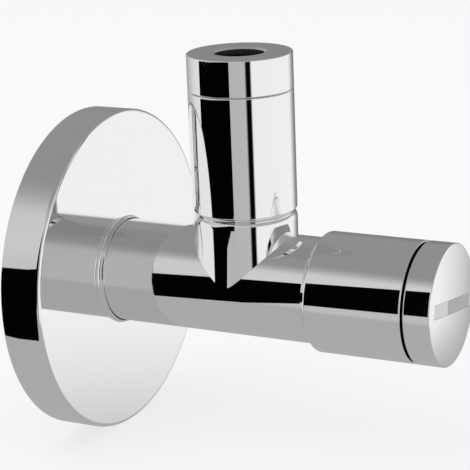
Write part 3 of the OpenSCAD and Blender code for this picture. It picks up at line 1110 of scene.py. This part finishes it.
@dataclass
class SlottedCap:
    """Domed cap with a milled slot, pressed on the spindle's square."""

    finishes: Finishes
    back: float = 79.35
    rim: float = 85.1
    outer_r: float = 12.65
    edge: float = 0.3
    dome: float = 0.5
    slot_len: float = 20.6
    slot_w: float = 2.8
    slot_depth: float = 2.3
    slot_edge: float = 0.1
    hollow: Tuple[float, float, float] = (6.5, 11.05, 81.6)
    square_side: float = 5.65
    square_end: float = 81.95
    columns: int = 288

    def dome_x(self, radius: np.ndarray) -> np.ndarray:
        """Station of the domed face at a radius."""
        flat_r = self.outer_r - self.edge
        ball = (flat_r ** 2 + self.dome ** 2) / (2 * self.dome)
        return self.rim + self.dome - ball + np.sqrt(ball ** 2 - radius ** 2)

    @staticmethod
    def tilted(u: np.ndarray, v: np.ndarray, x: np.ndarray) -> np.ndarray:
        """Points from the slot's own axes: u along the slot, v across it, x out of the cap."""
        y = u * math.cos(SLOT_TILT) + v * math.sin(SLOT_TILT)
        z = -u * math.sin(SLOT_TILT) + v * math.cos(SLOT_TILT)
        return np.stack([np.broadcast_to(x, y.shape), y, z], axis=-1)

    @staticmethod
    def on_rectangle(angles: np.ndarray, half_u: float, half_v: float) -> Tuple[np.ndarray, np.ndarray]:
        """Where a ray at each angle leaves a rectangle round the origin."""
        cu, cv = np.cos(angles), np.sin(angles)
        reach = 1.0 / np.maximum(np.abs(cu) / half_u, np.abs(cv) / half_v)
        return cu * reach, cv * reach

    def face(self, maker: Maker) -> np.ndarray:
        """Adds the dome, the slot and the front edge.

        Args:
            maker: Collects the faces.

        Returns:
            The columns' angles from the slot's long axis.
        """
        half_u, half_v = self.slot_len / 2, self.slot_w / 2
        corner = math.atan2(half_v + self.slot_edge, half_u + self.slot_edge)
        base = round_angles(self.columns)
        corners = np.array([corner, math.pi - corner, math.pi + corner, FULL - corner])
        keep = np.min(np.abs(base[:, None] - corners[None, :]), axis=1) > 0.3 * FULL / self.columns
        angles = np.sort(np.concatenate([base[keep], corners]))
        rim_r = self.outer_r - self.edge
        wide_u, wide_v = self.on_rectangle(angles, half_u + self.slot_edge, half_v + self.slot_edge)
        round_u, round_v = rim_r * np.cos(angles), rim_r * np.sin(angles)
        rows = []
        for share in (0.0, 0.015, 0.12, 0.3, 0.5, 0.7, 0.88, 0.985, 1.0):
            u = wide_u + (round_u - wide_u) * share
            v = wide_v + (round_v - wide_v) * share
            rows.append(self.tilted(u, v, self.dome_x(np.hypot(u, v))))
        maker.grid(np.stack(rows))
        inner_u = np.clip(wide_u, -half_u, half_u)
        inner_v = np.clip(wide_v, -half_v, half_v)
        lip_x = self.dome_x(np.hypot(wide_u, wide_v)) - self.slot_edge
        floor_x = np.full_like(lip_x, self.rim - self.slot_depth)
        lip = self.tilted(inner_u, inner_v, lip_x)
        floor = self.tilted(inner_u, inner_v, floor_x)
        maker.grid(np.stack([rows[0], lip]))
        maker.grid(np.stack([lip, lip + (floor - lip) * 0.03, lip + (floor - lip) * 0.97, floor]))
        maker.polygon(floor)
        return angles

    def build(self) -> bpy.types.Object:
        """Makes the cap and puts it in place of its node."""
        maker = Maker()
        slot_angles = self.face(maker)
        u, v = np.cos(slot_angles), np.sin(slot_angles)
        direction = self.tilted(u, v, np.zeros_like(u))
        angles = np.arctan2(direction[:, 1], direction[:, 2])
        rim_r = self.outer_r - self.edge
        ball = (rim_r ** 2 + self.dome ** 2) / (2 * self.dome)
        lean = math.degrees(math.asin(rim_r / ball))
        hub_r, wall_r, hollow_x = self.hollow
        edge_arc = [(r, s) for r, s in arc((rim_r, self.rim - self.edge), self.edge, self.edge, 90 - lean, 0, 8)]
        edge_arc[0] = (rim_r, float(self.dome_x(np.array(rim_r))))
        maker.turned(edge_arc + [(self.outer_r, self.back + self.edge), (rim_r + 0.08, self.back + 0.02),
                                 (rim_r, self.back)],
                     Turn.INLET, angles)
        # The back face towards the bonnet and the hollow take the near-black plate of painted gap shade.
        maker.turned([(rim_r, self.back), (wall_r, self.back), (wall_r, hollow_x), (hub_r, hollow_x), (hub_r, self.back)],
                     Turn.INLET, angles, Skin.PAINTED_SHADE)
        corner_r = self.square_side / math.sqrt(2)
        first = math.pi / 4 - SLOT_TILT * -1
        square, square_angles = polygon_ring(Turn.INLET, corner_r, self.back, 4, first)
        deep, _ = polygon_ring(Turn.INLET, corner_r, self.square_end, 4, first)
        maker.zip_rings(square, square_angles, ring(Turn.INLET, hub_r, self.back, angles), angles)
        maker.grid(np.stack([square, deep]))
        maker.polygon(deep)
        piece = maker.make("slotted_front_cap", [self.finishes.cap_chrome, self.finishes.cap_chrome,
                                                 self.finishes.gap_shade_plate])
        stand_for(piece, "slotted_cap", "spindle")
        return piece


@dataclass
class OutletSleeve:
    """The upright sleeve: filter holder and compression nut."""

    finishes: Finishes
    outer_r: float = 11.0
    low: float = 15.8
    low_edge: float = 16.7
    seam: float = 41.8
    top: float = 49.5
    groove: float = 0.8
    seal_bore_r: float = 8.3
    seal_end: float = 17.8
    female_r: float = 7.5
    flange_top: float = 26.65
    chamber: Tuple[float, float] = (6.6, 37.5)
    throat_r: float = 4.0
    socket: Tuple[float, float] = (5.05, 38.8)
    male: Tuple[float, float] = (7.45, 45.6)
    nut_hole_r: float = 5.25
    nut_lip: float = 0.42
    nut_cone: Tuple[float, float] = (46.4, 48.1)
    columns: int = 256

    def build_holder(self) -> bpy.types.Object:
        """Makes the filter holder and puts it in place of its node."""
        angles = round_angles(self.columns)
        seam_edge = 0.35
        maker = Maker()
        low_r = self.outer_r - self.groove
        maker.turned(
            [(self.seal_bore_r, self.low), (low_r - 0.05, self.low), (low_r, self.low + 0.05),
             (self.outer_r - 0.06, self.low_edge - 0.07), (self.outer_r - 0.015, self.low_edge),
             (self.outer_r, self.low_edge + 0.08)]
            + arc((self.outer_r - seam_edge, self.seam - seam_edge), seam_edge, seam_edge, 0, 90, 8)
            + [(self.male[0], self.seam)], Turn.OUTLET, angles)
        male_r, male_top = self.male
        maker.turned([(male_r, self.seam), (male_r - 0.45, self.seam + 0.2)], Turn.OUTLET, angles, Skin.BARE)
        maker.threaded(Thread(self.seam + 0.2, male_top - 0.4, male_r, male_r - 0.45, 1.0, samples=12),
                       Turn.OUTLET, angles, Skin.BARE)
        socket_r, socket_z = self.socket
        chamber_r, chamber_z = self.chamber
        maker.turned([(male_r - 0.45, male_top - 0.4), (male_r - 0.6, male_top), (socket_r + 1.15, male_top),
                      (socket_r, male_top - 1.2), (socket_r, socket_z), (self.throat_r + 0.2, socket_z),
                      (self.throat_r, socket_z - 0.2), (self.throat_r, chamber_z + 1), (chamber_r, chamber_z),
                      (chamber_r, self.flange_top), (self.female_r, self.flange_top)],
                     Turn.OUTLET, angles, Skin.BARE)
        maker.threaded(Thread(self.flange_top, self.seal_end + 0.5, self.female_r, self.female_r + 0.4, 1.0,
                              samples=12), Turn.OUTLET, angles, Skin.BARE)
        maker.turned([(self.female_r, self.seal_end + 0.5), (self.female_r, self.seal_end),
                      (self.seal_bore_r, self.seal_end), (self.seal_bore_r, self.low)],
                     Turn.OUTLET, angles, Skin.BARE)
        piece = maker.make("filter_sleeve", [self.finishes.sleeve_chrome, self.finishes.outlet_brass])
        stand_for(piece, "filter_holder", "tap_body")
        return piece

    def build_nut(self) -> bpy.types.Object:
        """Makes the compression nut and puts it in place of its node."""
        angles = round_angles(self.columns)
        foot = self.seam + 0.05
        edge = 0.3
        cone_low, cone_top = self.nut_cone
        maker = Maker()
        maker.turned(
            [(self.female_r + 0.2, foot), (self.outer_r - 0.2, foot)]
            + arc((self.outer_r - 0.2, foot + 0.2), 0.2, 0.2, -90, 0, 5)[1:]
            + arc((self.outer_r - edge, self.top - edge), edge, edge, 0, 90, 8)
            + [(self.nut_hole_r + self.nut_lip, self.top), (self.nut_hole_r, self.top - self.nut_lip)],
            Turn.OUTLET, angles)
        # The hole's wall and cone below the lip take the near-black plate of painted shade.
        maker.turned([(self.nut_hole_r, self.top - self.nut_lip), (self.nut_hole_r, cone_top), (6.9, cone_low),
                      (self.female_r, cone_low)], Turn.OUTLET, angles, Skin.PAINTED_SHADE)
        maker.threaded(Thread(cone_low, foot + 0.3, self.female_r, self.female_r + 0.4, 1.0, samples=12),
                       Turn.OUTLET, angles, Skin.BARE)
        maker.turned([(self.female_r, foot + 0.3), (self.female_r, foot + 0.2), (self.female_r + 0.2, foot)],
                     Turn.OUTLET, angles, Skin.BARE)
        piece = maker.make("outlet_nut", [self.finishes.sleeve_chrome, self.finishes.outlet_brass,
                                          self.finishes.gap_shade_plate])
        stand_for(piece, "compression_nut", "tap_body")
        return piece

    def build(self) -> None:
        """Makes both pieces."""
        self.build_holder()
        self.build_nut()


@dataclass
class FilterWeave:
    """Sleeve of woven wire inside the moulded basket."""

    finishes: Finishes
    middle_r: float = 4.11
    low: float = 26.65
    high: float = 35.4
    wire_r: float = 0.048
    uprights: int = 56
    hoops: int = 20
    sides: int = 6

    def tube(self, maker: Maker, path: np.ndarray, closed: bool) -> None:
        """Adds a wire along a path.

        Args:
            maker: Collects the faces.
            path: Centres of the wire.
            closed: Whether the path is a loop.
        """
        ahead = np.roll(path, -1, axis=0) - np.roll(path, 1, axis=0)
        if not closed:
            ahead[0], ahead[-1] = path[1] - path[0], path[-1] - path[-2]
        ahead /= np.linalg.norm(ahead, axis=1)[:, None]
        outward = path - np.array([OUTLET_X, 0, 0])
        outward[:, 2] = 0
        outward /= np.linalg.norm(outward, axis=1)[:, None]
        outward -= ahead * np.sum(outward * ahead, axis=1)[:, None]
        outward /= np.linalg.norm(outward, axis=1)[:, None]
        side = np.cross(ahead, outward)
        turn = round_angles(self.sides)
        block = (path[:, None, :] + self.wire_r * (np.cos(turn)[None, :, None] * outward[:, None, :]
                                                   + np.sin(turn)[None, :, None] * side[:, None, :]))
        if closed:
            block = np.concatenate([block, block[:1]])
        maker.grid(block)
        if not closed:
            maker.polygon(block[0])
            maker.polygon(block[-1])

    def build(self) -> bpy.types.Object:
        """Makes the weave and puts it in place of its node."""
        maker = Maker()
        swing = self.wire_r + 0.006
        span = self.high - self.low
        step = span / self.hoops
        for i in range(self.uprights):
            angle = FULL * i / self.uprights
            heights = self.low + step * (np.arange(2 * self.hoops + 1) / 2)
            sway = np.cos(math.pi * (heights - self.low - step / 2) / step) * (1 if i % 2 else -1)
            reach = self.middle_r + swing * sway
            self.tube(maker, np.stack([OUTLET_X + reach * math.cos(angle), reach * math.sin(angle), heights],
                                      axis=-1), False)
        for k in range(self.hoops):
            angles = round_angles(self.uprights * 2)
            sway = np.cos(angles * self.uprights / 2) * (1 if k % 2 else -1)
            reach = self.middle_r + swing * sway
            height = np.full_like(angles, self.low + step * (k + 0.5))
            self.tube(maker, np.stack([OUTLET_X + reach * np.cos(angles), reach * np.sin(angles), height],
                                      axis=-1), True)
        piece = maker.make("woven_filter_wire", [self.finishes.steel], sharp=70.0)
        stand_for(piece, "filter_mesh", "tap_body")
        return piece


@dataclass
class InnerParts:
    """The solids inside that keep their CAD shape and get their material here."""

    finishes: Finishes
    nodes: Dict[str, bpy.types.Object] = field(default_factory=dict)

    def dress(self) -> None:
        """Puts a material on each node."""
        by_finish = (
            (self.finishes.inlet_brass, ("spindle", "clip_washer", "valve_plug", "washer_plate", "washer_screw")),
            (self.finishes.outlet_brass, ("olive",)),
            (self.finishes.steel, ("retaining_clip",)),
            (self.finishes.rubber, ("flange_grip_ring", "bonnet_o_ring", "spindle_o_ring_inner",
                                    "spindle_o_ring_outer", "seat_washer", "holder_o_ring", "filter_gasket")),
            (self.finishes.plastic, ("thrust_washer", "filter_frame")),
        )
        for material, names in by_finish:
            for name in names:
                mesh = self.nodes[name].data
                mesh.materials.clear()
                mesh.materials.append(material)
                log.info("%s keeps its solid, in %s", name, material.name)


# ---------------------------------------------------------------- studio

def tone(level: float) -> float:
    """Scene value of a grey between 0 and 255 on the screen."""
    share = level / 255
    return share / 12.92 if share <= 0.04045 else ((share + 0.055) / 1.055) ** 2.4


@dataclass
class Studio:
    """Camera, pale floor, soft light and the cards that the polished metal shows."""

    camera_mm: Tuple[float, float, float] = (208.888, -330.899, 114.939)
    azimuth: float = 27.5105
    elevation: float = 15.6874
    roll: float = -2.2139
    lens: float = 140.48
    floor_z: float = -35.0
    lamp_watts: float = 1.6
    fill: float = 0.80

    def camera(self) -> None:
        """Places the camera at the photograph's viewing angle."""
        a, e, r = (math.radians(v) for v in (self.azimuth, self.elevation, self.roll))
        back = Vector((math.sin(a) * math.cos(e), -math.cos(a) * math.cos(e), math.sin(e)))
        right = Vector((math.cos(a), math.sin(a), 0))
        up = back.cross(right)
        turned_right = right * math.cos(r) + up * math.sin(r)
        turned_up = up * math.cos(r) - right * math.sin(r)
        data = bpy.data.cameras.new("photo_camera")
        data.sensor_width = 36.0
        data.lens = self.lens
        data.clip_start = 0.01
        data.clip_end = 50.0
        camera = bpy.data.objects.new("photo_camera", data)
        bpy.context.scene.collection.objects.link(camera)
        basis = Matrix((turned_right, turned_up, back)).transposed().to_4x4()
        basis.translation = Vector(self.camera_mm) * MM
        camera.matrix_world = basis
        bpy.context.scene.camera = camera

    def floor(self) -> None:
        """Makes the floor, white to the camera, pale grey in the metal, with the object's soft shadow."""
        size = 6.0
        mesh = bpy.data.meshes.new("studio_floor")
        z = self.floor_z * MM
        mesh.from_pydata([(-size, -size, z), (size, -size, z), (size, size, z), (-size, size, z)], [], [(0, 1, 2, 3)])
        floor = bpy.data.objects.new("studio_floor", mesh)
        bpy.context.scene.collection.objects.link(floor)
        material = bpy.data.materials.new("studio_floor")
        material.use_nodes = True
        n = Nodes(material.node_tree)
        material.node_tree.nodes.clear()
        path = n.add("LightPath")
        matte = n.add("BsdfDiffuse")
        matte.inputs["Color"].default_value = (0.9, 0.9, 0.9, 1)
        glow = n.add("Emission")
        level = n.math("ADD", n.math("MULTIPLY", path.outputs["Is Camera Ray"], 1.0),
                       n.math("MULTIPLY", path.outputs["Is Glossy Ray"], tone(182)))
        n.link(level, glow.inputs["Strength"])
        share = n.math("ADD", n.math("MULTIPLY", path.outputs["Is Camera Ray"], 0.72),
                       path.outputs["Is Glossy Ray"], clamp=True)
        mixed = n.add("MixShader")
        n.link(share, mixed.inputs[0])
        n.link(matte.outputs[0], mixed.inputs[1])
        n.link(glow.outputs[0], mixed.inputs[2])
        out = n.add("OutputMaterial")
        n.link(mixed.outputs[0], out.inputs[0])
        mesh.materials.append(material)
        floor.visible_glossy = False

    def card(self, name: str, corners_mm: Sequence[Tuple[float, float, float]], level: float) -> None:
        """Makes a card that only the polished metal shows.

        Args:
            name: Name of the card.
            corners_mm: Its corners.
            level: Its grey, from 0 to 255 on the screen.
        """
        mesh = bpy.data.meshes.new(name)
        mesh.from_pydata([Vector(c) * MM for c in corners_mm], [], [tuple(range(len(corners_mm)))])
        card = bpy.data.objects.new(name, mesh)
        bpy.context.scene.collection.objects.link(card)
        material = bpy.data.materials.new(name)
        material.use_nodes = True
        material.node_tree.nodes.clear()
        n = Nodes(material.node_tree)
        glow = n.add("Emission")
        glow.inputs["Color"].default_value = (tone(level),) * 3 + (1,)
        out = n.add("OutputMaterial")
        n.link(glow.outputs[0], out.inputs[0])
        mesh.materials.append(material)
        card.visible_camera = False
        card.visible_diffuse = False
        card.visible_shadow = False
        card.visible_transmission = False

    def cards(self) -> None:
        """Hangs the dark cards in front of the object."""
        y = -120.0
        self.card("dark_card_tall", [(47, y, -12), (47, y, 60), (35, y, 92), (15, y, 76), (-50, y, 25),
                                     (-70, y, -82), (-50, y, -78), (-15, y, -55), (10, y, -22)], 2)
        self.card("dark_card_long", [(-50, y, 25), (-190, y, 6), (-300, y, -14), (-300, y, -48),
                                     (-190, y, -30), (-100, y, -45), (-70, y, -82)], 2)

    def world(self) -> None:
        """Sets the surroundings: white to the camera, even for soft light, walls of greys in the metal."""
        world = bpy.data.worlds.new("studio_world")
        bpy.context.scene.world = world
        world.use_nodes = True
        tree = world.node_tree
        tree.nodes.clear()
        n = Nodes(tree)
        direction = n.add("TexCoord").outputs["Generated"]
        parts = n.add("SeparateXYZ")
        n.link(direction, parts.inputs[0])
        x, y, z = parts.outputs
        azimuth = n.math("ADD", n.math("DIVIDE", n.math("ARCTAN2", y, x), FULL), 0.5)
        low = self.ramp(n, azimuth, (
            (-180, 225), (-158, 235), (-150, 215), (-95, 185), (-54, 190), (-51, 6), (-42, 6), (-39, 246),
            (62, 250), (72, 215), (84, 150), (100, 122), (120, 140), (145, 180), (180, 225)), 360.0, 180.0)
        high = self.ramp(n, azimuth, ((-180, 170), (-150, 200), (-110, 215), (-60, 190), (0, 170), (90, 148),
                                      (140, 148), (180, 170)), 360.0, 180.0)
        top = n.spread(z, 0.62, 0.85, 0.0, 1.0)
        rise = n.spread(z, 0.18, 0.42, 0.0, 1.0)
        colour = n.blend(rise, low, high)
        colour = n.blend(top, colour, (tone(148),) * 3 + (1,))
        colour = n.blend(n.spread(z, -0.30, -0.42, 0.0, 1.0), colour, (tone(176),) * 3 + (1,))
        path = n.add("LightPath")
        even = (self.fill,) * 3 + (1,)
        colour = n.blend(path.outputs["Is Glossy Ray"], even, colour)
        seen = n.math("ADD", path.outputs["Is Camera Ray"], path.outputs["Is Transmission Ray"], clamp=True)
        colour = n.blend(seen, colour, (1, 1, 1, 1))
        background = n.add("Background")
        n.link(colour, background.inputs["Color"])
        out = n.add("OutputWorld")
        n.link(background.outputs[0], out.inputs[0])

    def ramp(self, n: Nodes, value: bpy.types.NodeSocket, stops: Sequence[Tuple[float, float]], span: float,
             shift: float) -> bpy.types.NodeSocket:
        """Adds a ramp of greys.

        Args:
            n: The tree's helper.
            value: Place on the ramp, from 0 to 1.
            stops: Place and grey of each stop.
            span: Length of the ramp in the stops' unit.
            shift: What is added to a stop's place first.

        Returns:
            The colour's socket.
        """
        node = n.add("ValToRGB")
        elements = node.color_ramp.elements
        while len(elements) > 1:
            elements.remove(elements[-1])
        for i, (place, level) in enumerate(stops):
            where = (place + shift) / span
            element = elements[0] if i == 0 else elements.new(where)
            element.position = where
            element.color = (tone(level),) * 3 + (1,)
        n.link(value, node.inputs[0])
        return node.outputs[0]

    def lamp(self) -> None:
        """Hangs one broad soft lamp over the object."""
        data = bpy.data.lights.new("soft_lamp", "AREA")
        data.shape = "SQUARE"
        data.size = 0.6
        data.energy = self.lamp_watts
        lamp = bpy.data.objects.new("soft_lamp", data)
        bpy.context.scene.collection.objects.link(lamp)
        lamp.location = (-0.15, -0.35, 0.75)
        lamp.rotation_euler = (Vector((0.04, 0, 0)) - lamp.location).to_track_quat("-Z", "Y").to_euler()
        lamp.visible_glossy = False

    def build(self) -> None:
        """Sets up the studio."""
        self.camera()
        self.floor()
        self.cards()
        self.world()
        self.lamp()
        bpy.context.scene.view_settings.view_transform = "Standard"
        log.info("studio ready")


def main() -> None:
    """Builds the studio and every sub-assembly in order."""
    Studio().build()
    finishes = Finishes(Effects())
    WallFlange(finishes).build()
    TeeBody(finishes).build()
    Bonnet(finishes).build()
    SlottedCap(finishes).build()
    OutletSleeve(finishes).build()
    FilterWeave(finishes).build()
    InnerParts(finishes, frame["nodes"]).dress()


if __name__ == "__main__":
    main()
